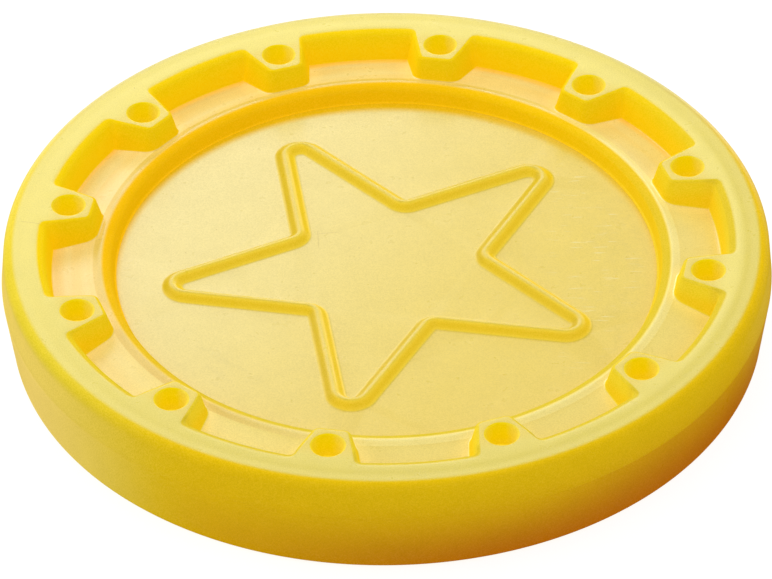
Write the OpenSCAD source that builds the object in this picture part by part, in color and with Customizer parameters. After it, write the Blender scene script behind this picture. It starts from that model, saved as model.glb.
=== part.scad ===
// Game token: a rim ring with lugs and pockets, pinned onto a base disc that carries a raised star.
// Sizes are in millimetres. The origin is the centre of the underside, with +Z up.
// One tip of the star points along -Y, and one lug lies on each multiple of the lug spacing from +X.

/* [Body] */
// Diameter at the seam, where the token is widest
token_d = 29; // [27:0.5:34]
// Height of the base disc, from the underside to the seam
base_h = 2.64; // [2.2:0.02:3.6]
// Height of the rim ring, from the seam to the top
ring_h = 1.46; // [1.3:0.02:2.2]
// How far the wall draws in from the seam to the top edge
ring_draw = 0.1; // [0:0.02:0.3]
// How far the wall draws in from the seam to the bottom edge
base_draw = 0.3; // [0:0.02:0.5]
// Rounding of the outer edges, top and bottom
edge_r = 0.4; // [0.2:0.02:0.6]

/* [Rim] */
// Width of the rim's top, from the outer wall to the pockets
rim_w = 1.52; // [1.2:0.02:2.2]
// Depth of the pockets at their outer wall
pocket_depth = 1.18; // [1:0.02:1.26]
// Depth of the crease at the lugs' feet, where the pocket floors meet the narrow land
crease_depth = 0.9; // [0.84:0.02:0.98]
// Depth of the land at the step's edge
land_depth = 0.76; // [0.6:0.02:0.8]
// Width of the land, from the lugs' inner ends to the step's edge
land_w = 0.82; // [0.5:0.02:1.4]
// Draft of the pockets' outer wall and of the step
wall_draft = 12; // [5:1:20]

/* [Lugs] */
// Number of lugs
lug_count = 12; // [6:1:16]
// Length of a lug, from the pockets' outer wall to its inner end
lug_l = 1.64; // [1.5:0.02:2]
// Width of a lug's top at its inner end
lug_w = 1.28; // [1.2:0.02:1.6]
// Angle by which each side of a lug spreads towards the rim
lug_spread = 19; // [10:1:25]
// Draft of a lug's sides and inner end
lug_draft = 15; // [5:1:18]

/* [Pins] */
// Distance from the pockets' outer wall to the pins' axes
pin_inset = 0.68; // [0.6:0.02:0.9]
// Diameter of a pin
pin_d = 0.9; // [0.7:0.02:1]
// Height of a pin above the seam
pin_h = 0.66; // [0.4:0.02:0.8]
// Clearance round a pin in its hole
pin_gap = 0.02; // [0.01:0.01:0.05]
// Diameter of the flared mouth of a hole
mouth_d = 1.3; // [1.1:0.02:1.4]
// Depth of the flared mouth of a hole
mouth_depth = 0.5; // [0.2:0.02:0.6]

/* [Star] */
// Distance from the step's foot to the ridge's centre line at a tip
star_margin = 2.14; // [1.5:0.02:4]
// Radius from the token's axis to the ridge's inner corners
star_inner_r = 3.64; // [2.5:0.02:4.2]
// Rounding of the ridge's centre line at the tips
star_tip_r = 0.6; // [0.4:0.02:0.8]
// Width of the ridge at its foot
ridge_w = 0.72; // [0.4:0.02:0.76]
// Height of the ridge
ridge_h = 0.3; // [0.2:0.02:0.5]

/* [Underside] */
// Width of the flat rim that the token rests on, from the lower wall to the recess
foot_w = 3.4; // [2:0.1:4.5]
// Depth of the recess in the underside
recess_depth = 0.9; // [0.4:0.02:1.2]

/* [Hidden] */
$fn = 96;
// Points on a star, and the angle between a tip and the next inner corner
star_tips = 5;
star_half = 180 / star_tips;
// How far a cutting shape runs past what it cuts
overrun = 0.5;
// Steps in one rounded stretch of an outline
arc_steps = 10;

token_h = base_h + ring_h;
seam_r = token_d / 2;
top_r = seam_r - ring_draw;
bottom_r = seam_r - base_draw;
pocket_r = top_r - rim_w;
pocket_foot_r = pocket_r - pocket_depth * tan(wall_draft);
lug_r = pocket_r - lug_l;
lug_foot_r = lug_r - crease_depth * tan(lug_draft);
step_r = lug_r - land_w;
step_foot_r = step_r - (ring_h - land_depth) * tan(wall_draft);
pin_pitch_r = pocket_r - pin_inset;
bore_d = pin_d + 2 * pin_gap;
recess_r = bottom_r - foot_w;
recess_floor_r = recess_r - recess_depth * tan(wall_draft);
star_tip_centre = step_foot_r - star_margin - star_tip_r;
// A straight leg of the star runs from an inner corner to the rounded tip, at a slope to the tip's axis
leg_run = [star_tip_centre - star_inner_r * cos(star_half), star_inner_r * sin(star_half)];
leg_slope = atan2(leg_run[1], leg_run[0]) - asin(star_tip_r / norm(leg_run));
star_corner_r = star_inner_r + ridge_w / 2 / sin(star_half + leg_slope);
corner_turn = 90 - star_half - leg_slope;

// Points on an arc round a centre, from one angle to another
function arc(centre, r, from, to) =
    [for (i = [0:arc_steps]) let (a = from + (to - from) * i / arc_steps)
        centre + r * [cos(a), sin(a)]];

// Half outline of the rim ring, as radius and height above the underside
function ring_outline() = concat(
    [[step_foot_r, base_h],
     [seam_r, base_h]],
    arc([top_r - edge_r, token_h - edge_r], edge_r, 0, 90),
    [[pocket_r, token_h],
     [pocket_foot_r, token_h - pocket_depth],
     [lug_foot_r, token_h - crease_depth],
     [step_r, token_h - land_depth]]);

// Half outline of the base disc, as radius and height above the underside
function disc_outline() = concat(
    [[0, recess_depth],
     [recess_floor_r, recess_depth],
     [recess_r, 0]],
    arc([bottom_r - edge_r, edge_r], edge_r, -90, 0),
    [[seam_r, base_h],
     [0, base_h]]);

// Line round the star at an offset from the ridge's centre line, with rounded tips and sharp corners
function star_outline(offset) =
    [for (i = [0:star_tips - 1]) let (axis = tip_axis(i), corner_a = axis - star_half)
        each concat(
            [(star_inner_r + offset / sin(star_half + leg_slope)) * [cos(corner_a), sin(corner_a)]],
            tip_arc(axis, star_tip_r + offset))];

// The same line on the star's inside, where the ridge turns each corner about its sharp outer edge
function star_inside() =
    [for (i = [0:star_tips - 1]) let (axis = tip_axis(i), corner_a = axis - star_half)
        each concat(
            arc(star_corner_r * [cos(corner_a), sin(corner_a)], ridge_w,
                corner_a + 180 + corner_turn, corner_a + 180 - corner_turn),
            tip_arc(axis, star_tip_r - ridge_w / 2))];

// Direction of one tip, with the first along -Y
function tip_axis(i) = i * 360 / star_tips - 90;

// The rounded end of a tip that points along an axis
function tip_arc(axis, r) =
    arc(star_tip_centre * [cos(axis), sin(axis)], r, axis - 90 + leg_slope, axis + 90 - leg_slope);

// Copies of a shape on every lug's line
module at_each_lug() {
    for (i = [0:lug_count - 1])
        rotate([0, 0, i * 360 / lug_count])
            children();
}

// A slab that cuts away everything on its +Y side, drafted about its top edge
module drafted_cut() {
    rotate([lug_draft, 0, 0])
        translate([-pocket_r, 0, -2 * ring_h])
            cube([2 * pocket_r, pocket_r, 4 * ring_h]);
}

// One lug on the +X axis, before its hole is made
module lug() {
    reach = lug_l + rim_w / 2;
    spread = lug_w + 2 * reach;
    difference() {
        translate([lug_foot_r, -spread / 2, base_h + (ring_h - pocket_depth) / 2])
            cube([pocket_r + rim_w / 2 - lug_foot_r, spread, (ring_h + pocket_depth) / 2]);
        for (side = [0, 1])
            mirror([0, side, 0])
                translate([lug_r, lug_w / 2, token_h])
                    rotate([0, 0, lug_spread])
                        drafted_cut();
        translate([lug_r, 0, token_h])
            rotate([0, 0, 90])
                drafted_cut();
    }
}

// The hole in a lug: a bore for the pin, with a flared mouth
module lug_hole() {
    translate([pin_pitch_r, 0, base_h - overrun])
        cylinder(d = bore_d, h = ring_h + 2 * overrun);
    translate([pin_pitch_r, 0, token_h - mouth_depth])
        cylinder(d1 = bore_d, d2 = mouth_d, h = mouth_depth);
}

// The raised outline of the star
module star() {
    translate([0, 0, base_h - overrun])
        linear_extrude(ridge_h + overrun)
            difference() {
                polygon(star_outline(ridge_w / 2));
                polygon(star_inside());
            }
}

// Lower moulding: lower wall, underside, centre floor, star and pins
module base_disc() {
    color("gold") {
        rotate_extrude()
            polygon(disc_outline());
        star();
        at_each_lug()
            translate([pin_pitch_r, 0, base_h - overrun])
                cylinder(d = pin_d, h = pin_h + overrun);
    }
}

// Upper moulding: rim, lugs with their holes, pockets, land and step
module rim_ring() {
    color("khaki")
        difference() {
            union() {
                rotate_extrude()
                    polygon(ring_outline());
                at_each_lug()
                    lug();
            }
            at_each_lug()
                lug_hole();
        }
}

base_disc();
rim_ring();
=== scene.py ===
# Looks of the game token: a rim ring on a base disc, in glossy translucent yellow plastic.
import math

import bmesh
import bpy
from mathutils import Matrix, Vector
from mathutils.geometry import delaunay_2d_cdt


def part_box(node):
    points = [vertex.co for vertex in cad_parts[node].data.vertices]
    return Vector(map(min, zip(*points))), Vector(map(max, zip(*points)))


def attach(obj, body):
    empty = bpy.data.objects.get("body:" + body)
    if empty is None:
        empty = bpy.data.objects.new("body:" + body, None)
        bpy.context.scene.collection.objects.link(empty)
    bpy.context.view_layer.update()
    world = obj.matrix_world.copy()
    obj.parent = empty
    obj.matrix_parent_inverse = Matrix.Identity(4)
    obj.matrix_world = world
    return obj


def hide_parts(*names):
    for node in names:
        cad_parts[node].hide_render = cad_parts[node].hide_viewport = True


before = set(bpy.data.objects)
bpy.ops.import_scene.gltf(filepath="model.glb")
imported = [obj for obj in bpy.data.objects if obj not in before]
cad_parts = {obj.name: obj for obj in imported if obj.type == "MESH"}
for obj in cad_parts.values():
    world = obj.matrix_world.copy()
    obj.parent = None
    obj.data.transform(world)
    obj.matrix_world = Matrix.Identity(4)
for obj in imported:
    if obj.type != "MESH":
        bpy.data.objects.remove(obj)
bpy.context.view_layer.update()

# Lengths are in millimetres, and METRE turns them into the frame's metres
METRE = 0.001


def node_box(node):
    """Lowest and highest corner of a frame node, in millimetres."""
    low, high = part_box(node)
    return low / METRE, high / METRE


RING_LOW, RING_HIGH = node_box("rim_ring")
_, DISC_HIGH = node_box("base_disc")

# Heights and radii that the frame gives
SEAM_R = (RING_HIGH.x - RING_LOW.x) / 2
SEAM_Z = RING_LOW.z
TOP_Z = RING_HIGH.z
PIN_TOP_Z = DISC_HIGH.z

# Drafts, slopes and spreads are in degrees, and a stretch is how much wider than high a rounding is

# Outer wall
TOP_R = SEAM_R - 0.1
BOTTOM_R = SEAM_R - 0.3
EDGE_ROUND = 0.4
SEAM_ROUND = 0.008

# Rim, with a slight dip in its top, and pockets
POCKET_R = TOP_R - 1.52
POCKET_DEPTH = 1.18
POCKET_DRAFT = 12
RIM_DIP = 0.012
RIM_FLAT_R = POCKET_R + 0.5
RIM_ROUND = 0.28
RIM_STRETCH = 1.6
FOOT_ROUND = 0.1

# Lugs
LUGS = 12
LUG_R = POCKET_R - 1.64
LUG_W = 1.28
LUG_SPREAD = 19
LUG_DRAFT = 15
LUG_ROUND = 0.13
LUG_STRETCH = 1.4
LUG_BLEND = 0.4
LUG_CORNER = 0.3
POCKET_CORNER = 0.22
LEAST_CORNER = 0.03

# Land inside the pockets, and the step, which runs out onto the centre floor in a feather edge
CREASE_R = LUG_R - 0.2
CREASE_DEPTH = 0.9
CREASE_SOFTNESS = 0.012
LAND_SLOPE = 20
STEP_R = LUG_R - 0.84
STEP_DRAFT = 12
STEP_ROUND = 0.3
STEP_STRETCH = 1.5
STEP_FOOT_ROUND = 0.1
FEATHER = 0.012

# Holes in the lugs and the pins that stand in them
PIN_R = 0.45
PIN_PITCH_R = POCKET_R - 0.68
PIN_ROUND = 0.08
BORE_R = PIN_R + 0.02
MOUTH_R = 0.6
MOUTH_DEPTH = 0.5
MOUTH_ROUND = 0.1

# Star ridge
STAR_TIPS = 5
STAR_TIP_CENTRE = STEP_R - 2.87
STAR_TIP_R = 0.6
STAR_INNER_R = 3.64
RIDGE_W = 0.92
RIDGE_H = 0.28
RIDGE_CORNER = 0.06

# Underside
FOOT_W = 3.4
RECESS_DEPTH = 0.9
RECESS_DRAFT = 12
RECESS_ROUND = 0.25

# Counts of facets
ROUND_STEPS = 6
WALL_STEPS = 4
EDGE_STEPS = 10
SEAM_STEPS = 3
DIP_STEPS = 8
FLOOR_STEPS = 14
OUTER_STEPS = 360
HOLE_STEPS = 40
LUG_END_STEPS = 2
LUG_SIDE_STEPS = 6
POCKET_STEPS = 9
STAR_TIP_STEPS = 24
STAR_BEND_STEPS = 12
STAR_LEG_STEPS = 12
RIDGE_STEPS = 24

# Angle between two faces above which their edge stays sharp, and how far large faces lead the shading
SHARP_ANGLE = math.radians(38)
LARGE_FACE_WEIGHT = 100
# Kind of fill that stays inside its outermost loop, and the distance under which two points count as one
FILL_INSIDE = 1
FILL_TOLERANCE = 1e-6


def spaced(start, end, steps):
    """Values from start to end, both included, in equal steps."""
    return [start + (end - start) * i / steps for i in range(steps + 1)]


def arc(centre, radius, start, end, steps):
    """Plan points on an arc between two angles."""
    return [centre + radius * Vector((math.cos(a), math.sin(a))) for a in spaced(start, end, steps)]


def line(start, end, steps):
    """Plan points on a straight line."""
    return [start.lerp(end, share) for share in spaced(0, 1, steps)]


def circle(radius, steps, centre=Vector((0, 0))):
    """Plan points on a full circle."""
    return arc(centre, radius, 0, math.tau, steps)[:-1]


def turned(points, angle):
    """Plan points turned about the token's axis."""
    turn = Matrix.Rotation(angle, 2)
    return [turn @ p for p in points]


def quarter_round(radius, steps):
    """Distances from the wall and from the flat along a quarter round, from the wall to the flat."""
    turns = spaced(0, math.pi / 2, steps)
    return [(radius * (1 - math.cos(turn)), radius * (1 - math.sin(turn))) for turn in turns]


def edge_round(radius, draft, share, stretch=1):
    """Offset and depth along the rounded top edge of a drafted wall, from the flat to the wall."""
    lean = math.radians(draft)
    full_turn = math.pi / 2 - lean
    turn = share * full_turn
    end = radius * (1 - math.cos(full_turn)) * math.tan(lean)
    run = stretch * radius * (math.sin(full_turn) - math.sin(turn))
    return end - run, radius * (1 - math.cos(turn))


def foot_round(radius, draft, depth, share):
    """Offset and height above the floor along a drafted wall's hollow foot, from the wall to the floor."""
    lean = math.radians(draft)
    full_turn = math.pi / 2 - lean
    turn = lean + share * full_turn
    reach = radius * math.tan(full_turn / 2)
    return depth * math.tan(lean) + reach - radius * math.cos(turn), radius * (1 - math.sin(turn))


class Skin:
    """The surface of one piece, gathered loop by loop in millimetres."""

    def __init__(self):
        self.mesh = bmesh.new()

    def loop(self, points):
        """A closed loop of vertices."""
        return [self.mesh.verts.new(p) for p in points]

    def flat_loop(self, points, z):
        """A closed loop of plan points at one height."""
        return self.loop([(p.x, p.y, z) for p in points])

    def strip(self, first, second):
        """Quads between two loops with equally many vertices."""
        count = len(first)
        for i in range(count):
            k = (i + 1) % count
            self.mesh.faces.new((first[i], first[k], second[k], second[i]))

    def strips(self, loops):
        """Quads between each loop and the next. Returns the loops."""
        for first, second in zip(loops, loops[1:]):
            self.strip(first, second)
        return loops

    def turning(self, levels, steps, centre=Vector((0, 0))):
        """A turned surface through circles, each given by its radius and height. Returns their loops."""
        return self.strips([self.flat_loop(circle(radius, steps, centre), z) for radius, z in levels])

    def fill(self, *loops):
        """Triangles over the flat region inside the first loop and outside the others."""
        corners = [v for loop in loops for v in loop]
        points = [v.co.xy for v in corners]
        owners = [k for k, loop in enumerate(loops) for _ in loop]
        edges = []
        for loop in loops:
            start = len(edges)
            edges += [(start + i, start + (i + 1) % len(loop)) for i in range(len(loop))]
        _, _, triangles, sources, _, _ = delaunay_2d_cdt(points, edges, [], FILL_INSIDE, FILL_TOLERANCE)
        for triangle in triangles:
            a, b, c = sorted(sources[i][0] for i in triangle)
            # A triangle on one loop alone is left out where it lies on the wrong side of that loop
            if owners[a] == owners[c]:
                turns_left = (points[b] - points[a]).cross(points[c] - points[a]) > 0
                if turns_left != (owners[a] == 0):
                    continue
            self.mesh.faces.new((corners[a], corners[b], corners[c]))

    def piece(self, name, material):
        """The finished object, smooth but for its true corners."""
        bmesh.ops.recalc_face_normals(self.mesh, faces=self.mesh.faces)
        bmesh.ops.scale(self.mesh, vec=(METRE, METRE, METRE), verts=self.mesh.verts)
        data = bpy.data.meshes.new(name)
        self.mesh.to_mesh(data)
        self.mesh.free()
        data.shade_smooth()
        data.set_sharp_from_angle(angle=SHARP_ANGLE)
        data.materials.append(material)
        made = bpy.data.objects.new(name, data)
        bpy.context.scene.collection.objects.link(made)
        weighted = made.modifiers.new("flat faces lead", "WEIGHTED_NORMAL")
        weighted.keep_sharp = True
        weighted.weight = LARGE_FACE_WEIGHT
        return made


def lug_line(pocket_offset, lug_offset):
    """The closed line round the lugs and pockets, moved into the pockets by the two offsets."""
    spread = math.radians(LUG_SPREAD)
    along = Vector((math.cos(spread), math.sin(spread)))
    across = Vector((-math.sin(spread), math.cos(spread)))
    mitre = (1 - math.sin(spread)) / math.cos(spread)
    pocket_r = POCKET_R - pocket_offset
    end_x = LUG_R - lug_offset
    lug_corner = max(LEAST_CORNER, LUG_CORNER + lug_offset)
    pocket_corner = max(LEAST_CORNER, POCKET_CORNER - lug_offset)
    tip = Vector((end_x, LUG_W / 2 + lug_offset * mitre))
    lug_centre = Vector((end_x + lug_corner, tip.y - lug_corner * mitre))
    side = tip + across * pocket_corner
    reach = side.dot(along)
    run = math.sqrt(reach ** 2 - side.length_squared + (pocket_r - pocket_corner) ** 2) - reach
    pocket_centre = side + along * run
    pocket_start = math.atan2(pocket_centre.y, pocket_centre.x)
    half = line(Vector((end_x, 0)), Vector((end_x, lug_centre.y)), LUG_END_STEPS)
    half += arc(lug_centre, lug_corner, math.pi, spread + math.pi / 2, ROUND_STEPS)[1:]
    half += line(half[-1], pocket_centre - across * pocket_corner, LUG_SIDE_STEPS)[1:]
    half += arc(pocket_centre, pocket_corner, spread - math.pi / 2, pocket_start, ROUND_STEPS)[1:]
    half += arc(Vector((0, 0)), pocket_r, pocket_start, math.pi / LUGS, POCKET_STEPS)[1:]
    mirrored = [Vector((p.x, -p.y)) for p in reversed(half)]
    sector = mirrored[:-1] + half[:-1]
    return [p for i in range(LUGS) for p in turned(sector, i * math.tau / LUGS)]


def pin_centre(index):
    """Plan point on the axis of one pin and its hole."""
    return turned([Vector((PIN_PITCH_R, 0))], index * math.tau / LUGS)[0]


def floor_depth(radius):
    """Depth of the pocket floors and the land below the rim's top."""
    land = CREASE_DEPTH + (radius - CREASE_R) * math.tan(math.radians(LAND_SLOPE))
    pocket_foot_r = POCKET_R - POCKET_DEPTH * math.tan(math.radians(POCKET_DRAFT))
    slope = (POCKET_DEPTH - CREASE_DEPTH) / (pocket_foot_r - CREASE_R)
    pocket = CREASE_DEPTH + (radius - CREASE_R) * slope
    middle = (land + pocket) / 2
    return middle - math.hypot((land - pocket) / 2, CREASE_SOFTNESS)


def ring_wall(skin):
    """Top edge, wall and foot of the lugs and pockets. Returns the end loops and the foot's plan."""
    plan = lug_line(0, 0)
    rim_shares = [min(1, max(0, 1 - (POCKET_R - p.length) / LUG_BLEND)) for p in plan]
    foot = lug_line(foot_round(FOOT_ROUND, POCKET_DRAFT, POCKET_DEPTH, 1)[0],
                    foot_round(FOOT_ROUND, LUG_DRAFT, CREASE_DEPTH, 1)[0])
    floors = [floor_depth(p.length) for p in foot]
    loops = []
    for share in spaced(0, 1, ROUND_STEPS):
        rim_offset, rim_depth = edge_round(RIM_ROUND, POCKET_DRAFT, share, RIM_STRETCH)
        lug_offset, lug_depth = edge_round(LUG_ROUND, LUG_DRAFT, share, LUG_STRETCH)
        depths = [lug_depth + (rim_depth - lug_depth) * rim_share for rim_share in rim_shares]
        points = zip(lug_line(rim_offset, lug_offset), depths)
        loops.append(skin.loop([(p.x, p.y, TOP_Z - depth) for p, depth in points]))
    for share in spaced(0, 1, ROUND_STEPS):
        rim_offset, rise = foot_round(FOOT_ROUND, POCKET_DRAFT, POCKET_DEPTH, share)
        lug_offset, _ = foot_round(FOOT_ROUND, LUG_DRAFT, CREASE_DEPTH, share)
        points = zip(lug_line(rim_offset, lug_offset), floors)
        loops.append(skin.loop([(p.x, p.y, TOP_Z - floor + rise) for p, floor in points]))
    skin.strips(loops)
    return loops[0], loops[-1], foot


def ring_floor(skin, foot_loop, foot):
    """Pocket floors, land and step, from the lugs' feet inwards. Returns the last loop."""
    edge_reach, _ = edge_round(STEP_ROUND, STEP_DRAFT, 0, STEP_STRETCH)
    land_r = STEP_R - edge_reach
    land_depth = floor_depth(land_r)
    loops = [foot_loop]
    for share in spaced(0, 1, FLOOR_STEPS)[1:]:
        row = [p * ((1 - share) + share * land_r / p.length) for p in foot]
        loops.append(skin.loop([(p.x, p.y, TOP_Z - floor_depth(p.length)) for p in row]))
    levels = []
    for share in spaced(0, 1, ROUND_STEPS)[1:]:
        offset, depth = edge_round(STEP_ROUND, STEP_DRAFT, share, STEP_STRETCH)
        levels.append((STEP_R - offset, TOP_Z - land_depth - depth))
    step_depth = TOP_Z - land_depth - SEAM_Z
    for share in spaced(0, 1, ROUND_STEPS):
        offset, rise = foot_round(STEP_FOOT_ROUND, STEP_DRAFT, step_depth, share)
        levels.append((STEP_R - offset, SEAM_Z + max(rise, FEATHER)))
    levels.append((levels[-1][0], SEAM_Z))
    for radius, z in levels:
        loops.append(skin.flat_loop([p * (radius / p.length) for p in foot], z))
    return skin.strips(loops)[-1]


def ring_outside(skin):
    """Outer wall, top edge and the rim's dipped top. Returns the loops at the seam and inside the dip."""
    levels = [(SEAM_R - from_flat, SEAM_Z + from_wall)
              for from_wall, from_flat in quarter_round(SEAM_ROUND, SEAM_STEPS)]
    levels += [(SEAM_R + (TOP_R - SEAM_R) * share, SEAM_Z + (TOP_Z - EDGE_ROUND - SEAM_Z) * share)
               for share in spaced(0, 1, WALL_STEPS)[1:]]
    levels += [(TOP_R - from_wall, TOP_Z - from_flat)
               for from_wall, from_flat in quarter_round(EDGE_ROUND, EDGE_STEPS)[1:]]
    dip_start = TOP_R - EDGE_ROUND
    for share in spaced(0, 1, DIP_STEPS)[1:]:
        sink = RIM_DIP * math.sin(share * math.pi) ** 2
        levels.append((dip_start + (RIM_FLAT_R - dip_start) * share, TOP_Z - sink))
    loops = skin.turning(levels, OUTER_STEPS)
    return loops[0], loops[-1]


def ring_hole(skin, index):
    """One lug's hole: rounded mouth, flare and bore. Returns the loops at the rim and at the seam."""
    flare = math.degrees(math.atan2(MOUTH_R - BORE_R, MOUTH_DEPTH))
    rounds = [edge_round(MOUTH_ROUND, flare, share) for share in spaced(0, 1, ROUND_STEPS)]
    levels = [(MOUTH_R - offset, TOP_Z - depth) for offset, depth in rounds]
    levels += [(BORE_R, TOP_Z - MOUTH_DEPTH), (BORE_R, SEAM_Z)]
    loops = skin.turning(levels, HOLE_STEPS, pin_centre(index))
    return loops[0], loops[-1]


def rim_ring(material):
    """Upper piece: rim, lugs with their holes, pockets, land and step."""
    skin = Skin()
    seam, rim_flat = ring_outside(skin)
    lug_top, foot_loop, foot = ring_wall(skin)
    inner = ring_floor(skin, foot_loop, foot)
    holes = [ring_hole(skin, i) for i in range(LUGS)]
    skin.fill(rim_flat, lug_top, *[mouth for mouth, _ in holes])
    skin.fill(seam, inner, *[bore for _, bore in holes])
    return skin.piece("rim_ring_moulding", material)


def star_line(offset):
    """The closed line round the star, moved outwards from the ridge's middle by an offset."""
    half_turn = math.pi / STAR_TIPS
    inner = STAR_INNER_R * Vector((math.cos(half_turn), math.sin(half_turn)))
    leg = Vector((STAR_TIP_CENTRE - inner.x, inner.y))
    slope = math.atan2(leg.y, leg.x) - math.asin(STAR_TIP_R / leg.length)
    corner_reach = RIDGE_W / 2 + RIDGE_CORNER
    corner_r = STAR_INNER_R + corner_reach / math.sin(half_turn + slope)
    corner_turn = math.pi / 2 - half_turn - slope
    corner = Vector((corner_r * math.cos(half_turn), corner_r * math.sin(half_turn)))
    tip = arc(Vector((STAR_TIP_CENTRE, 0)), STAR_TIP_R + offset, slope - math.pi / 2,
              math.pi / 2 - slope, STAR_TIP_STEPS)
    bend = arc(corner, corner_reach - offset, half_turn + math.pi + corner_turn,
               half_turn + math.pi - corner_turn, STAR_BEND_STEPS)
    next_tip = turned(tip[:1], 2 * half_turn)[0]
    sector = tip + line(tip[-1], bend[0], STAR_LEG_STEPS)[1:-1]
    sector += bend + line(bend[-1], next_tip, STAR_LEG_STEPS)[1:-1]
    return [p for i in range(STAR_TIPS) for p in turned(sector, i * 2 * half_turn - math.pi / 2)]


def star_ridge(skin):
    """The star's ridge, a bead with a hollow foot. Returns its outer and inner foot loops."""
    loops = []
    for share in spaced(1, -1, RIDGE_STEPS):
        rise = RIDGE_H * math.cos(share * math.pi / 2) ** 2
        loops.append(skin.flat_loop(star_line(share * RIDGE_W / 2), SEAM_Z + rise))
    skin.strips(loops)
    return loops[0], loops[-1]


def disc_pin(skin, index):
    """One pin, with a rounded top. Returns its foot loop."""
    levels = [(PIN_R, SEAM_Z)]
    levels += [(PIN_R - from_wall, PIN_TOP_Z - from_flat)
               for from_wall, from_flat in quarter_round(PIN_ROUND, ROUND_STEPS)]
    loops = skin.turning(levels, HOLE_STEPS, pin_centre(index))
    skin.fill(loops[-1])
    return loops[0]


def disc_outside(skin):
    """Recess, resting face, bottom edge and lower wall. Returns the loops of the recess and the seam."""
    recess_r = BOTTOM_R - FOOT_W
    wall_h = SEAM_Z - SEAM_ROUND - EDGE_ROUND
    levels = []
    for share in spaced(1, 0, ROUND_STEPS):
        offset, rise = foot_round(RECESS_ROUND, RECESS_DRAFT, RECESS_DEPTH, share)
        levels.append((recess_r - offset, RECESS_DEPTH - rise))
    for share in spaced(1, 0, ROUND_STEPS):
        offset, depth = edge_round(RECESS_ROUND, RECESS_DRAFT, share)
        levels.append((recess_r - offset, depth))
    levels += [(BOTTOM_R - from_flat, from_wall)
               for from_wall, from_flat in quarter_round(EDGE_ROUND, EDGE_STEPS)]
    levels += [(BOTTOM_R + (SEAM_R - BOTTOM_R) * share, EDGE_ROUND + wall_h * share)
               for share in spaced(0, 1, WALL_STEPS)[1:]]
    levels += [(SEAM_R - from_wall, SEAM_Z - from_flat)
               for from_wall, from_flat in quarter_round(SEAM_ROUND, SEAM_STEPS)[1:]]
    loops = skin.turning(levels, OUTER_STEPS)
    return loops[0], loops[-1]


def base_disc(material):
    """Lower piece: lower wall, underside, centre floor, star and pins."""
    skin = Skin()
    recess, seam = disc_outside(skin)
    ridge_outside, ridge_inside = star_ridge(skin)
    pins = [disc_pin(skin, i) for i in range(LUGS)]
    skin.fill(recess)
    skin.fill(seam, ridge_outside, *pins)
    skin.fill(ridge_inside)
    return skin.piece("base_disc_moulding", material)


# Sockets of a Mix node that hold its factor, its two colours and the mixed colour
MIX_FACTOR = 0
MIX_FIRST = 6
MIX_SECOND = 7
MIXED = 2


class Shade:
    """A socket of a node tree. Operators on it add Math nodes, and node() adds any other kind."""

    def __init__(self, socket):
        self.socket = socket
        self.tree = socket.id_data

    def node(self, kind, settings, inputs, output=0):
        """Adds a node, sets it up, then sets or links its inputs."""
        made = self.tree.nodes.new("ShaderNode" + kind)
        for name, value in settings.items():
            setattr(made, name, value)
        for name, value in inputs.items():
            if isinstance(value, Shade):
                self.tree.links.new(value.socket, made.inputs[name])
            else:
                made.inputs[name].default_value = value
        return Shade(made.outputs[output])

    def math(self, operation, *values):
        """One step of arithmetic on the given values."""
        return self.node("Math", {"operation": operation}, dict(enumerate(values)))

    def __add__(self, other):
        return self.math("ADD", self, other)

    def __radd__(self, other):
        return self.math("ADD", other, self)

    def __sub__(self, other):
        return self.math("SUBTRACT", self, other)

    def __rsub__(self, other):
        return self.math("SUBTRACT", other, self)

    def __mul__(self, other):
        return self.math("MULTIPLY", self, other)

    def __rmul__(self, other):
        return self.math("MULTIPLY", other, self)

    def fade(self, span):
        """A smooth rise from 0 at the span's start to 1 at its end, which may lie below its start."""
        start, end = span
        values = {"Value": self, "From Min": start, "From Max": end}
        return self.node("MapRange", {"interpolation_type": "SMOOTHSTEP"}, values)

    def mix(self, first, second):
        """A colour that goes from the first to the second as this value goes from 0 to 1."""
        values = {MIX_FACTOR: self, MIX_FIRST: first, MIX_SECOND: second}
        return self.node("Mix", {"data_type": "RGBA"}, values, MIXED)

    def vector(self, second, third=0):
        """A vector with this value as its first part."""
        return self.node("CombineXYZ", {}, {"X": self, "Y": second, "Z": third})

    def scaled(self, scale):
        """A vector with each part multiplied."""
        return self.node("VectorMath", {"operation": "MULTIPLY"}, {0: self, 1: scale})

    def along(self, direction):
        """How far a vector reaches along a direction, times that direction's length."""
        return self.node("VectorMath", {"operation": "DOT_PRODUCT"}, {0: self, 1: direction}, "Value")

    def length(self):
        """Length of a vector."""
        return self.node("VectorMath", {"operation": "LENGTH"}, {0: self}, "Value")

    def part(self, axis):
        """One part of a vector, by its letter."""
        return self.node("SeparateXYZ", {}, {"Vector": self}, axis)

    def noise(self, kind):
        """Noise over this vector, from 0 to 1, of a scale, a detail and a roughness."""
        scale, detail, roughness = kind
        values = {"Vector": self, "Scale": scale, "Detail": detail, "Roughness": roughness}
        return self.node("TexNoise", {}, values)

    def swing(self, kind):
        """The same noise about zero, from -0.5 to 0.5."""
        return self.noise(kind) - 0.5


# Camera, as solved from the photograph
CAMERA_LENS = 302.57
CAMERA_SENSOR = 36
CAMERA_AZIMUTH = math.radians(10.39)
CAMERA_ELEVATION = math.radians(39.02)
CAMERA_ROLL = math.radians(-0.73)
CAMERA_DISTANCE = 243.64
CAMERA_RIGHT = -0.032
CAMERA_UP = -1.961
CAMERA_NEAR = 1
CAMERA_FAR = 100000


def level(right, away):
    """A level vector, from its reach to the right and away from the viewer in the photograph."""
    return Matrix.Rotation(CAMERA_AZIMUTH, 3, "Z") @ Vector((right, away, 0))


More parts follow.
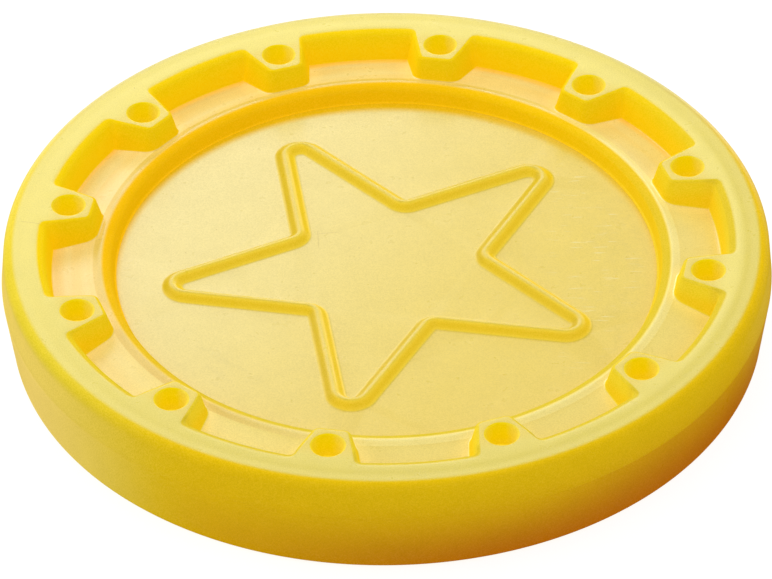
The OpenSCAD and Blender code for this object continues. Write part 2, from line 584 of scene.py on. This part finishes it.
# Level directions: right, away, to the far left, where painted light and sheen lie, and the opposite of
# that, the lee
RIGHTWARD = level(1, 0)
AWAY = level(0, 1)
LIGHT_TURN = math.radians(150)
LIGHTWARD = level(math.cos(LIGHT_TURN), math.sin(LIGHT_TURN))
LEEWARD = -LIGHTWARD

# Plastic colours, as linear light. Many are lit and shaded copies of one yellow, which paint light and
# shade into the colour
RIM_PAINTED_SHADE = (0.66, 0.53, 0.035, 1)
RIM_PAINTED_LIGHT = (0.765, 0.635, 0.095, 1)
LUG_WARM = (0.725, 0.535, 0.03, 1)
POCKET_PEACH = (0.83, 0.61, 0.17, 1)
POCKET_CREAM = (0.83, 0.66, 0.23, 1)
POCKET_YELLOW = (0.83, 0.68, 0.17, 1)
POCKET_ORANGE = (0.85, 0.47, 0.03, 1)
LAND_HIGHLIGHT = (0.89, 0.76, 0.25, 1)
LAND_SHADE = (0.73, 0.52, 0.09, 1)
WALL_SHADED = (0.66, 0.49, 0.03, 1)
WALL_YELLOW = (0.58, 0.42, 0.004, 1)
WALL_ORANGE = (0.62, 0.39, 0.002, 1)
WALL_DEEP = (0.61, 0.32, 0.0, 1)
HOLE_ORANGE = (0.55, 0.42, 0.003, 1)
HOLE_HIGHLIGHT = (0.68, 0.55, 0.06, 1)
FLOOR_YELLOW = (0.71, 0.53, 0.035, 1)
FLOOR_SHEEN = (0.765, 0.64, 0.22, 1)
FLOOR_ORANGE = (0.62, 0.36, 0.0, 1)
RIDGE_MUSTARD = (0.62, 0.43, 0.015, 1)
RIDGE_LIT_TOP = (0.71, 0.53, 0.03, 1)
RIDGE_DEEP = (0.48, 0.35, 0.02, 1)
OUTER_YELLOW = (0.84, 0.545, 0.0, 1)
OUTER_AMBER = (0.55, 0.155, 0.0, 1)
OUTER_LIT_LEFT = (0.8, 0.62, 0.03, 1)
OUTER_SHEEN = (0.98, 0.72, 0.16, 1)
OUTER_FAR_SHADE = (0.62, 0.52, 0.12, 1)
SCRATCH_WHITE = (0.85, 0.76, 0.42, 1)
HAIRLINE_BROWN = (0.45, 0.3, 0.03, 1)

# Painted light: glow that the plastic gives off, as linear light, standing in for light that comes through
# it
POCKET_GLOW = (0.2, 0.12, 0.0, 1)
LUG_FOOT_GLOW = (0.1, 0.08, 0.03, 1)
MUSTARD_GLOW = (0.2, 0.16, 0.006, 1)
LUG_MUSTARD_GLOW = (0.26, 0.21, 0.003, 1)
WALL_GLOW = (0.345, 0.215, 0.0, 1)
RIM_WALL_GLOW = (0.39, 0.25, 0.0, 1)
HOLE_GLOW = (0.385, 0.27, 0.0, 1)
HOLE_FAINT = (0.24, 0.16, 0.005, 1)
FLOOR_GLOW = (0.17, 0.115, 0.0, 1)
RIDGE_GLOW = (0.265, 0.175, 0.0, 1)
NO_GLOW = (0.0, 0.0, 0.0, 1)

# A span is where a fade starts and where it is full, and a noise is its scale, detail and roughness

# Mask of painted warm light, which stands in for light that comes through the walls on the far left
WARM_WAY = level(-0.5, 1)
WARM_SPAN = (-9, 7)


class Spot:
    """Where a point of the token lies, in millimetres, as shades of one material."""

    def __init__(self, surface):
        normal = surface.node("NewGeometry", {}, {}, "Normal")
        self.place = surface.node("TexCoord", {}, {}, "Object").scaled((1 / METRE,) * 3)
        self.facing = normal.part("Z")
        self.lee = normal.along(LEEWARD)
        self.height = self.place.part("Z")
        self.radius = self.place.scaled((1, 1, 0)).length()
        self.right = self.place.along(RIGHTWARD)
        self.away = self.place.along(AWAY)
        self.lightward = self.place.along(LIGHTWARD)
        self.warm_light = self.place.along(WARM_WAY).fade(WARM_SPAN)
        angle = self.away.math("ARCTAN2", self.away, self.right) + CAMERA_AZIMUTH
        half_pitch = math.pi / LUGS
        lug_angle = angle - angle.math("WRAP", angle, half_pitch, -half_pitch) - CAMERA_AZIMUTH
        self.hole_right = self.right - PIN_PITCH_R * lug_angle.math("COSINE", lug_angle)
        hole_away = self.away - PIN_PITCH_R * lug_angle.math("SINE", lug_angle)
        self.hole_radius = self.hole_right.vector(hole_away).length()

    def rings(self, turns, pitch):
        """A place for noise that runs in rings round the token's axis."""
        spread = self.radius.math("DIVIDE", turns, self.radius)
        return (spread * self.right).vector(spread * self.away, pitch * self.radius)


# Outer wall: yellow, with painted shade that turns it amber downwards and to the right
# Painted light on its left, painted sheen at its pale ends, and painted shade on its dull far side
OUTER_SPAN = (SEAM_R - 0.58, SEAM_R - 0.36)
AMBER_DOWN_SPAN = (TOP_Z, -0.2)
AMBER_RIGHT_SPAN = (-14, 5)
LEFT_SPAN = (-6, -13)
PALE_LEFT_SPAN = (-8, -14.4)
PALE_LEFT_SHARE = 0.75
PALE_LOWER_SHARE = 0.35
PALE_RIGHT_SPAN = (12.5, 14.6)
PALE_RIGHT_SHARE = 0.25
PALE_DOWN_SPAN = (TOP_Z - 0.1, TOP_Z - 0.6)
FAR_SPAN = (3, 11)
BELOW_SEAM_SPAN = (SEAM_Z + 0.08, SEAM_Z - 0.08)
LOWER_AMBER_SPAN = (4, 11)
LOWER_AMBER_SHARE = 0.35
SEAM_LINE_SPAN = (5, 11)
SEAM_LINE_SHARE = 0.8
OUTER_GLOSS = 0.12
FAR_GLOSS = 0.5
FAR_GLOSS_SPAN = (-2, 9)
GLOSS_UP_SPAN = (0.1, 0.7)


def outer_paint(spot):
    """Colour and gloss of the outer wall, and a mask of that wall."""
    below_seam = spot.height.fade(BELOW_SEAM_SPAN)
    # Painted shade: amber downwards and to the right, and lower down below the seam on the right
    amber_shade = spot.height.fade(AMBER_DOWN_SPAN) * spot.right.fade(AMBER_RIGHT_SPAN)
    colour = amber_shade.mix(OUTER_YELLOW, OUTER_AMBER)
    colour = spot.right.fade(LEFT_SPAN).mix(colour, OUTER_LIT_LEFT)
    # Painted sheen at the pale ends, and painted shade on the dull far side
    painted_light = spot.right.fade(PALE_LEFT_SPAN) * (PALE_LEFT_SHARE + PALE_LOWER_SHARE * below_seam)
    painted_light = painted_light + PALE_RIGHT_SHARE * spot.right.fade(PALE_RIGHT_SPAN)
    painted_light = painted_light * spot.height.fade(PALE_DOWN_SPAN)
    colour = spot.away.fade(FAR_SPAN).mix(painted_light.mix(colour, OUTER_SHEEN), OUTER_FAR_SHADE)
    lower_shade = LOWER_AMBER_SHARE * below_seam * spot.right.fade(LOWER_AMBER_SPAN)
    colour = lower_shade.mix(colour, OUTER_AMBER)
    seam_line = SEAM_LINE_SHARE * below_seam * (1 - below_seam) * spot.right.fade(SEAM_LINE_SPAN)
    colour = seam_line.mix(colour, OUTER_AMBER)
    gloss = OUTER_GLOSS + FAR_GLOSS * spot.away.fade(FAR_GLOSS_SPAN)
    return colour, gloss * spot.height.fade(GLOSS_UP_SPAN), spot.radius.fade(OUTER_SPAN)


# Holes: painted highlights, a pale ragged crescent on the right, a fainter one on the left and a paler pin
# deep down
HOLE_SPAN = (MOUTH_R + 0.12, MOUTH_R + 0.04)
CRESCENT_SPAN = (0.1, 0.46)
CRESCENT_NOISE = (5, 2, 0.6)
CRESCENT_RAGGED = 0.25
LEFT_CRESCENT_SPAN = (-0.25, -0.6)
LEFT_CRESCENT_SHARE = 0.4
PIN_TOP_SPAN = (TOP_Z - MOUTH_DEPTH, PIN_TOP_Z + 0.04)
PIN_TOP_SHARE = 0.3


def hole_paint(spot):
    """Colour of a hole's inside with painted highlights, its painted glow, and a mask of the holes."""
    ragged_right = spot.hole_right + CRESCENT_RAGGED * spot.place.swing(CRESCENT_NOISE)
    # Painted highlights: pale crescents on the inner walls and a paler pin top
    painted_light = ragged_right.fade(CRESCENT_SPAN)
    painted_light = painted_light + LEFT_CRESCENT_SHARE * spot.hole_right.fade(LEFT_CRESCENT_SPAN)
    painted_light = painted_light + PIN_TOP_SHARE * (1 - painted_light) * spot.height.fade(PIN_TOP_SPAN)
    inside = spot.hole_radius.fade(HOLE_SPAN)
    return painted_light.mix(HOLE_ORANGE, HOLE_HIGHLIGHT), painted_light.mix(HOLE_GLOW, HOLE_FAINT), inside


# Flat top, with painted light and shade: the rim is brightest on the far left, the lugs on the far side
RIM_LIGHT_WAY = level(-0.64, 0.77)
RIM_LIGHT_SPAN = (-11, 14)
LUG_LIGHT_WAY = level(0.17, 0.98)
LUG_LIGHT_SPAN = (-17, 1)
RIM_SPAN = (POCKET_R + 0.32, POCKET_R + 0.92)
LUG_TOP_SPAN = (POCKET_R + 0.12, POCKET_R - 0.48)
LUG_TOP_SHARE = 0.7


def top_paint(spot):
    """Colour of the flat top of the rim and the lugs, with painted light and shade."""
    # Painted light and shade across the rim and the lug tops
    rim_light = spot.place.along(RIM_LIGHT_WAY).fade(RIM_LIGHT_SPAN)
    lug_light = spot.place.along(LUG_LIGHT_WAY).fade(LUG_LIGHT_SPAN)
    light = lug_light + spot.radius.fade(RIM_SPAN) * (rim_light - lug_light)
    lug_top = LUG_TOP_SHARE * spot.radius.fade(LUG_TOP_SPAN)
    return lug_top.mix(light.mix(RIM_PAINTED_SHADE, RIM_PAINTED_LIGHT), LUG_WARM)


# Pocket floors, with painted reflections in streaks that run round the token, and the land inside their
# crease
STREAK_TURNS = 1.2
STREAK_PITCH = 2.0
STREAK_NOISE = (1, 3, 0.5)
STREAK_SPAN = (0.35, 0.65)
LAND_SPAN = (3, -6)
CREASE_SPAN = (CREASE_R - 0.02, CREASE_R + 0.04)


def pocket_paint(spot, wall_foot):
    """Colour of the pocket floors, with a painted orange glow at the rim wall's foot, and of the land."""
    # Painted reflections in streaks where the painted warm light falls, and painted orange glow at the
    # wall's foot
    reflection_streak = spot.rings(STREAK_TURNS, STREAK_PITCH).noise(STREAK_NOISE).fade(STREAK_SPAN)
    pocket = spot.warm_light.mix(POCKET_YELLOW, reflection_streak.mix(POCKET_PEACH, POCKET_CREAM))
    pocket = wall_foot.mix(pocket, POCKET_ORANGE)
    # Painted highlight on the land away from the far left, and painted shade towards it
    land = spot.lightward.fade(LAND_SPAN).mix(LAND_SHADE, LAND_HIGHLIGHT)
    return spot.radius.fade(CREASE_SPAN).mix(land, pocket)


# Walls of the pockets, the lugs and the step: painted shade, mustard with dimmer edges, where light isn't
# warm
WALL_DOWN_SPAN = (TOP_Z - 0.15, TOP_Z - 0.8)
STEP_WALL_SPAN = (STEP_R + 0.5, STEP_R + 0.2)
STEP_LEFT_SPAN = (9, -2)
LOW_WARM_SPAN = (TOP_Z - 0.2, TOP_Z - 0.8)
LOW_WARM_SHARE = 0.5
STEEP_SPAN = (0.7, 0.4)
RIM_WALL_SPAN = (POCKET_R - 0.58, POCKET_R - 0.18)
STEP_EDGE_SPAN = (SEAM_Z + 0.26, SEAM_Z + 0.46)
EDGE_FACING_SPAN = (0.4, 0.8)
EDGE_DIM_SHARE = 0.65
LUG_EDGE_SHARE = 0.3


def wall_paint(spot, low, step):
    """Colour and painted glow of the walls of the pockets, the lugs and the step, with painted shade."""
    colour = spot.height.fade(WALL_DOWN_SPAN).mix(WALL_YELLOW, WALL_ORANGE)
    deep = spot.radius.fade(STEP_WALL_SPAN) * spot.right.fade(STEP_LEFT_SPAN)
    colour = deep.mix(colour, WALL_DEEP)
    # Painted shade: mustard walls and dimmer edge glow where the painted warm light doesn't fall
    cold = 1 - spot.warm_light
    low_warm = spot.height.fade(LOW_WARM_SPAN) * spot.facing.fade(STEEP_SPAN)
    warm_light = spot.warm_light + LOW_WARM_SHARE * cold * low_warm
    rim_wall = spot.radius.fade(RIM_WALL_SPAN)
    lugs = (1 - step) * (1 - rim_wall)
    glow = warm_light.mix(lugs.mix(MUSTARD_GLOW, LUG_MUSTARD_GLOW), rim_wall.mix(WALL_GLOW, RIM_WALL_GLOW))
    edge = (1 - low) + low * step * spot.height.fade(STEP_EDGE_SPAN)
    dim = (EDGE_DIM_SHARE - LUG_EDGE_SHARE * lugs) * cold * edge * spot.facing.fade(EDGE_FACING_SPAN)
    return warm_light.mix(WALL_SHADED, colour), dim.mix(glow, NO_GLOW)


# Rim ring: what faces up, what lies low or on the step, and what is at the foot of a wall or a lug
LOW_SPAN = (TOP_Z - 0.4, TOP_Z - 0.6)
STEP_SPAN = (STEP_R + 0.4, STEP_R + 0.24)
TOP_FACING_SPAN = (0.955, 0.999)
LOW_FACING_SPAN = (0.72, 0.93)
WALL_FOOT_TILT = 0.012
WALL_FOOT_SPAN = (POCKET_R - 0.48, POCKET_R - 0.08)
LUG_FOOT_SPAN = (1.9, 1.2)
WALL_GLOSS = 0.06


def ring_paint(spot):
    """Colour, painted glow and gloss of the rim ring."""
    low = spot.height.fade(LOW_SPAN)
    step = spot.radius.fade(STEP_SPAN)
    top_facing = spot.facing.fade(TOP_FACING_SPAN)
    low_facing = spot.facing.fade(LOW_FACING_SPAN) * (1 - step)
    upward = top_facing + low * (low_facing - top_facing)
    wall_foot = spot.warm_light * (spot.radius + WALL_FOOT_TILT * spot.away).fade(WALL_FOOT_SPAN)
    lug_foot = spot.hole_radius.fade(LUG_FOOT_SPAN)
    # Faces that look up are painted paler than the walls, in part as painted sheen
    flat = low.mix(top_paint(spot), pocket_paint(spot, wall_foot))
    # Painted glow at the foot of the rim wall and of the lugs, where shade would fall
    flat_glow = (low * wall_foot).mix((low * lug_foot).mix(NO_GLOW, LUG_FOOT_GLOW), POCKET_GLOW)
    wall, wall_glow = wall_paint(spot, low, step)
    outer, outer_gloss, outward = outer_paint(spot)
    hole, hole_glow, in_hole = hole_paint(spot)
    in_hole = in_hole * (1 - top_facing)
    colour = outward.mix(upward.mix(wall, flat), outer)
    glow = outward.mix(upward.mix(wall_glow, flat_glow), NO_GLOW)
    gloss = (WALL_GLOSS + (1 - WALL_GLOSS) * upward) * (1 - outward) + outer_gloss * outward
    return in_hole.mix(colour, hole), in_hole.mix(glow, hole_glow), gloss * (1 - in_hole)


# Star ridge: painted glow for light through its sides, most of all those that face away from the painted
# light
RIDGE_SPAN = (SEAM_Z + 0.002, SEAM_Z + 0.025)
RIDGE_TOP_SPAN = (0.68, 0.93)
RIDGE_SHADE_SPAN = (-0.12, -0.5)
RIDGE_SHADE_SHARE = 0.35
RIDGE_SIDE_SPAN = (0.97, 0.8)
SIDE_GLOW_SPAN = (-1.2, 0.3)
TOP_GLOW_SPAN = (0.02, 0.2)
TOP_GLOW_SHARE = 0.5
RIDGE_MATT = 0.7


def ridge_paint(spot):
    """Colour, painted glow and gloss of the star's ridge, and a mask of it."""
    ridge = spot.height.fade(RIDGE_SPAN)
    top = spot.facing.fade(RIDGE_TOP_SPAN)
    # Painted light makes the top paler, and painted shade darkens the sides that face the far left
    colour = top.mix(RIDGE_MUSTARD, RIDGE_LIT_TOP)
    colour = (RIDGE_SHADE_SHARE * spot.lee.fade(RIDGE_SHADE_SPAN)).mix(colour, RIDGE_DEEP)
    side = spot.facing.fade(RIDGE_SIDE_SPAN)
    glow = side * spot.lee.fade(SIDE_GLOW_SPAN)
    glow = glow + TOP_GLOW_SHARE * (1 - side) * spot.lee.fade(TOP_GLOW_SPAN)
    return colour, glow.mix(NO_GLOW, RIDGE_GLOW), 1 - RIDGE_MATT * ridge * (1 - top), ridge


# Base disc: pale painted sheen over its floor, a painted orange glow at the step's foot, and the tops of
# its pins
FLOOR_SHEEN_SPAN = (-7, 11)
STEP_FOOT_TILT = 0.04
STEP_FOOT_SPAN = (STEP_R - 0.45, STEP_R)
STEP_FOOT_RIGHT_SPAN = (2, 8)
STEP_FOOT_RIGHT_LOSS = 0.5
STEP_FOOT_UP_SPAN = (SEAM_Z - 0.34, SEAM_Z - 0.04)
STEP_FOOT_MATT = 0.95
PIN_UP_SPAN = (SEAM_Z + 0.06, SEAM_Z + 0.26)


def disc_paint(spot):
    """Colour, painted glow and gloss of the base disc."""
    # Painted orange glow at the step's foot, less on the right
    step_foot = (spot.radius + STEP_FOOT_TILT * spot.away).fade(STEP_FOOT_SPAN)
    step_foot = step_foot * (1 - STEP_FOOT_RIGHT_LOSS * spot.right.fade(STEP_FOOT_RIGHT_SPAN))
    step_foot = step_foot * spot.height.fade(STEP_FOOT_UP_SPAN)
    # Painted sheen over the floor towards the far left
    floor = spot.lightward.fade(FLOOR_SHEEN_SPAN).mix(FLOOR_YELLOW, FLOOR_SHEEN)
    floor = step_foot.mix(floor, FLOOR_ORANGE)
    floor_glow = step_foot.mix(NO_GLOW, FLOOR_GLOW)
    star, star_glow, star_gloss, ridge = ridge_paint(spot)
    outer, outer_gloss, outward = outer_paint(spot)
    hole, hole_glow, in_hole = hole_paint(spot)
    in_hole = in_hole * spot.height.fade(PIN_UP_SPAN)
    colour = in_hole.mix(outward.mix(ridge.mix(floor, star), outer), hole)
    glow = in_hole.mix(ridge.mix(floor_glow, star_glow), hole_glow)
    floor_gloss = (1 - STEP_FOOT_MATT * step_foot) * star_gloss
    gloss = floor_gloss * (1 - outward) + outer_gloss * outward
    return colour, outward.mix(glow, NO_GLOW), gloss * (1 - in_hole)


# Ends of the hairlines, as distances to the right and away, and how their own ends fade
HAIRLINES = (
    (Vector((-13.8, 1.27)), Vector((-12.8, 1.03))),
    (Vector((-11.0, 1.15)), Vector((-10.45, 1.1))),
    (Vector((-2.6, 2.3)), Vector((-2.55, 1.1))),
    (Vector((-2.6, 2.1)), Vector((-1.6, 2.2))),
)
HAIRLINE_HALF_W = 0.03
HAIRLINE_HEAD = 0.1
HAIRLINE_TAIL = 0.3
HAIRLINE_SHARE = 0.4


def hairline(spot, start, end):
    """A mask of one thin straight line between two points."""
    run = end - start
    way = run.normalized()
    right = spot.right - start.x
    away = spot.away - start.y
    along = way.x * right + way.y * away
    across = way.x * away - way.y * right
    across = across.math("ABSOLUTE", across)
    ends = along.fade((0, HAIRLINE_HEAD)) * along.fade((run.length, run.length - HAIRLINE_TAIL))
    return across.fade((HAIRLINE_HALF_W, 0)) * ends


# Fine grain and broad mottling all over, and specks
GRAIN_NOISE = (21, 1, 0.5)
GRAIN_SPAN = (0.25, 0.75)
GRAIN_SHARE = 0.1
GRAIN_LIFT = 0.025
MOTTLE_NOISE = (0.9, 3, 0.6)
MOTTLE_SHARE = 0.1
SPECK_NOISE = (4.5, 0, 0.5)
SPECK_SPAN = (0.9, 0.93)
SPECK_SHARE = 0.5

# Smudges on the near left of the floor, whose strokes are finer across than along
SMUDGE_RIGHT_SPAN = (-2, -8)
SMUDGE_AWAY_SPAN = (-2, -7)
SMUDGE_INSIDE_SPAN = (STEP_R - 0.2, STEP_R - 1.9)
SMUDGE_ACROSS = 2.2 * Vector((0.5, 0.86, 0))
SMUDGE_ALONG = 0.5 * Vector((0.86, -0.5, 0))
SMUDGE_NOISE = (1, 3, 0.6)
SMUDGE_SPAN = (0.5, 0.7)
SMUDGE_SHARE = 0.07

# Clouding and fine level scratches on the right of the floor
CLOUD_RIGHT_SPAN = (6, 9)
CLOUD_INSIDE_SPAN = (STEP_R - 0.2, STEP_R - 0.8)
CLOUD_NOISE = (1.8, 4, 0.7)
CLOUD_SPAN = (0.45, 0.65)
CLOUD_SHARE = 0.06
SCRATCH_RIGHT_SPAN = (5.6, 7.2)
SCRATCH_INSIDE_SPAN = (STEP_R - 0.4, STEP_R - 1.4)
SCRATCH_DOWN_SPAN = (SEAM_Z + 0.06, SEAM_Z + 0.02)
SCRATCH_ALONG = 0.9
SCRATCH_ACROSS = 9
SCRATCH_NOISE = (1, 2, 0.5)
SCRATCH_SPAN = (0.63, 0.69)
SCRATCH_SHARE = 0.45


def smudges(spot):
    """A mask of the smudges."""
    near_left = spot.right.fade(SMUDGE_RIGHT_SPAN) * spot.away.fade(SMUDGE_AWAY_SPAN)
    strokes = spot.place.along(SMUDGE_ACROSS).vector(spot.place.along(SMUDGE_ALONG))
    strokes = strokes.noise(SMUDGE_NOISE).fade(SMUDGE_SPAN)
    return near_left * spot.radius.fade(SMUDGE_INSIDE_SPAN) * strokes


def clouding(spot):
    """A mask of the clouding."""
    right_side = spot.right.fade(CLOUD_RIGHT_SPAN) * spot.radius.fade(CLOUD_INSIDE_SPAN)
    return right_side * spot.place.noise(CLOUD_NOISE).fade(CLOUD_SPAN)


def scratches(spot):
    """A mask of the fine scratches."""
    right_side = spot.right.fade(SCRATCH_RIGHT_SPAN) * spot.radius.fade(SCRATCH_INSIDE_SPAN)
    fine = (SCRATCH_ALONG * spot.right).vector(SCRATCH_ACROSS * spot.away)
    fine = fine.noise(SCRATCH_NOISE).fade(SCRATCH_SPAN)
    return right_side * spot.height.fade(SCRATCH_DOWN_SPAN) * fine


def wear(spot, colour):
    """The colour with grain, mottling, smudges, clouding, scratches, hairlines and specks."""
    grain = spot.place.noise(GRAIN_NOISE).fade(GRAIN_SPAN) - 0.5
    shade = 1 + GRAIN_SHARE * grain + MOTTLE_SHARE * spot.place.swing(MOTTLE_NOISE)
    shade = shade - SMUDGE_SHARE * smudges(spot) - CLOUD_SHARE * clouding(spot)
    lift = GRAIN_LIFT * grain
    varied = colour.node("VectorMath", {"operation": "MULTIPLY_ADD"}, {0: colour, 1: shade, 2: lift})
    varied = varied.node("VectorMath", {"operation": "MAXIMUM"}, {0: varied, 1: (0, 0, 0)})
    varied = (SCRATCH_SHARE * scratches(spot)).mix(varied, SCRATCH_WHITE)
    for start, end in HAIRLINES:
        varied = (HAIRLINE_SHARE * hairline(spot, start, end)).mix(varied, HAIRLINE_BROWN)
    specks = spot.place.noise(SPECK_NOISE).fade(SPECK_SPAN)
    return (SPECK_SHARE * specks).mix(varied, HAIRLINE_BROWN)


# Skin of the plastic
SKIN_ROUGHNESS = 0.3
ROUGHNESS_SWING = 0.16
ROUGHNESS_NOISE = (1.4, 3, 0.6)
BUMP_NOISE = (8, 2, 0.6)
BUMP_DEPTH = 0.002


def plastic(name, paint):
    """Translucent plastic: glossy where one sees its skin, and matt where one looks into its thickness."""
    made = bpy.data.materials.new(name)
    made.use_nodes = True
    nodes = made.node_tree.nodes
    nodes.remove(nodes["Principled BSDF"])
    surface = Shade(nodes["Material Output"].inputs["Surface"])
    spot = Spot(surface)
    colour, glow, gloss = paint(spot)
    colour = wear(spot, colour)
    roughness = SKIN_ROUGHNESS + ROUGHNESS_SWING * spot.place.swing(ROUGHNESS_NOISE)
    bumps = spot.place.noise(BUMP_NOISE)
    normal = bumps.node("Bump", {}, {"Height": bumps, "Strength": 1, "Distance": BUMP_DEPTH * METRE})
    # The emission is painted glow, which stands in for light that comes through the plastic
    look = {"Base Color": colour, "Emission Color": glow, "Emission Strength": 1, "Normal": normal}
    skin = colour.node("BsdfPrincipled", {}, {**look, "Roughness": roughness})
    depth = colour.node("BsdfPrincipled", {}, {**look, "Specular IOR Level": 0})
    blend = gloss.node("MixShader", {}, {0: gloss, 1: depth, 2: skin})
    made.node_tree.links.new(blend.socket, surface.socket)
    return made


def add_camera():
    """The photograph's camera, placed from the middle of the rim's top."""
    data = bpy.data.cameras.new("camera")
    data.lens = CAMERA_LENS
    data.sensor_width = CAMERA_SENSOR
    data.clip_start = CAMERA_NEAR * METRE
    data.clip_end = CAMERA_FAR * METRE
    made = bpy.data.objects.new("camera", data)
    bpy.context.scene.collection.objects.link(made)
    tilt = Matrix.Rotation(math.pi / 2 - CAMERA_ELEVATION, 4, "X")
    turn = Matrix.Rotation(CAMERA_AZIMUTH, 4, "Z") @ tilt
    place = Matrix.Translation((CAMERA_RIGHT * METRE, CAMERA_UP * METRE, CAMERA_DISTANCE * METRE))
    roll = Matrix.Rotation(CAMERA_ROLL, 4, "Z")
    made.matrix_world = Matrix.Translation((0, 0, TOP_Z * METRE)) @ turn @ place @ roll
    bpy.context.scene.camera = made


# Brightness of what the gloss reflects, and spans of the directions in which it lies
BELOW_LIGHT = 0.02
BELOW_LEFT_LIGHT = 0.7
BELOW_LEFT_SPAN = (-0.2, -0.9)
BELOW_SPAN = (0.1, -0.2)
BACKDROP_LIGHT = 2.3
BACKDROP_SPAN = (0.3, 0.9)
BACKDROP_FOOT_SPAN = (-0.55, -0.1)
BACKDROP_TOP_SPAN = (0.5, 0.25)
ABOVE_LIGHT = 0.45
ABOVE_SPAN = (-0.1, 0.3)
# Brightness of the light all round, and of what the camera sees past the floor
ROUND_LIGHT = 0.74
SEEN_LIGHT = 1
WHITE = (1, 1, 1, 1)


def add_world():
    """Soft light all round, with reflections of a bright backdrop and of a floor, bright on the left."""
    world = bpy.data.worlds.new("studio")
    world.use_nodes = True
    background = world.node_tree.nodes["Background"]
    background.inputs["Color"].default_value = WHITE
    brightness = Shade(background.inputs["Strength"])
    glossy = brightness.node("LightPath", {}, {}, "Is Glossy Ray")
    seen = brightness.node("LightPath", {}, {}, "Is Camera Ray")
    way = brightness.node("TexCoord", {}, {}, "Generated")
    up = way.part("Z")
    below = BELOW_LIGHT + BELOW_LEFT_LIGHT * way.along(RIGHTWARD).fade(BELOW_LEFT_SPAN)
    backdrop = BACKDROP_LIGHT * way.along(AWAY).fade(BACKDROP_SPAN)
    backdrop = backdrop * up.fade(BACKDROP_FOOT_SPAN) * up.fade(BACKDROP_TOP_SPAN)
    reflected = below * up.fade(BELOW_SPAN) + backdrop + ABOVE_LIGHT * up.fade(ABOVE_SPAN)
    direct = ROUND_LIGHT + (SEEN_LIGHT - ROUND_LIGHT) * seen
    strength = glossy * reflected + (1 - glossy) * direct
    world.node_tree.links.new(strength.socket, brightness.socket)
    world.cycles.sampling_method = "NONE"
    bpy.context.scene.world = world


# Stage floor, which lies a little below the underside so that the two don't share one plane
STAGE_REACH = 3000
STAGE_DROP = 0.01
STAGE_GREY = (0.3, 0.3, 0.3, 1)
STAGE_BRIGHTNESS = 0.79


def add_floor():
    """Plain pale floor."""
    mesh = bmesh.new()
    bmesh.ops.create_grid(mesh, x_segments=1, y_segments=1, size=STAGE_REACH * METRE)
    data = bpy.data.meshes.new("floor")
    mesh.to_mesh(data)
    mesh.free()
    material = bpy.data.materials.new("floor_paint")
    material.use_nodes = True
    shader = material.node_tree.nodes["Principled BSDF"]
    shader.inputs["Base Color"].default_value = STAGE_GREY
    shader.inputs["Emission Color"].default_value = WHITE
    shader.inputs["Emission Strength"].default_value = STAGE_BRIGHTNESS
    shader.inputs["Specular IOR Level"].default_value = 0
    data.materials.append(material)
    made = bpy.data.objects.new("floor", data)
    bpy.context.scene.collection.objects.link(made)
    made.location.z = -STAGE_DROP * METRE
    made.visible_glossy = False
    made.visible_diffuse = False


def add_light(name, azimuth, elevation, distance, width, height, radiance, shadow):
    """A soft rectangular light that faces the token. Its azimuth counts from the photograph's right."""
    data = bpy.data.lights.new(name, "AREA")
    data.shape = "RECTANGLE"
    data.size = width * METRE
    data.size_y = height * METRE
    data.energy = radiance * math.pi * width * METRE * height * METRE
    data.use_shadow = shadow
    made = bpy.data.objects.new(name, data)
    bpy.context.scene.collection.objects.link(made)
    turn = math.radians(azimuth)
    rise = math.radians(elevation)
    direction = level(math.cos(turn) * math.cos(rise), math.sin(turn) * math.cos(rise))
    direction.z = math.sin(rise)
    made.location = direction * distance * METRE
    made.rotation_mode = "QUATERNION"
    made.rotation_quaternion = direction.to_track_quat("Z", "Y")
    made.visible_camera = False
    return made


def add_lights():
    """Soft light from behind and from the left, and a weak one in front that casts the shadow."""
    add_light("back", azimuth=110, elevation=42, distance=160, width=160, height=110,
              radiance=2.3, shadow=False)
    left = add_light("left", azimuth=180, elevation=25, distance=200, width=140, height=120,
                     radiance=0.9, shadow=False)
    left.visible_glossy = False
    add_light("front", azimuth=300, elevation=42, distance=260, width=240, height=160,
              radiance=0.3, shadow=True)


ring = rim_ring(plastic("ring_plastic", ring_paint))
disc = base_disc(plastic("base_plastic", disc_paint))
for made, node, slot in ((ring, "rim_ring", "ring_plastic"), (disc, "base_disc", "base_plastic")):
    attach(made, "root")
    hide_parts(node)

add_camera()
add_world()
add_floor()
add_lights()
bpy.context.scene.view_settings.view_transform = "Standard"
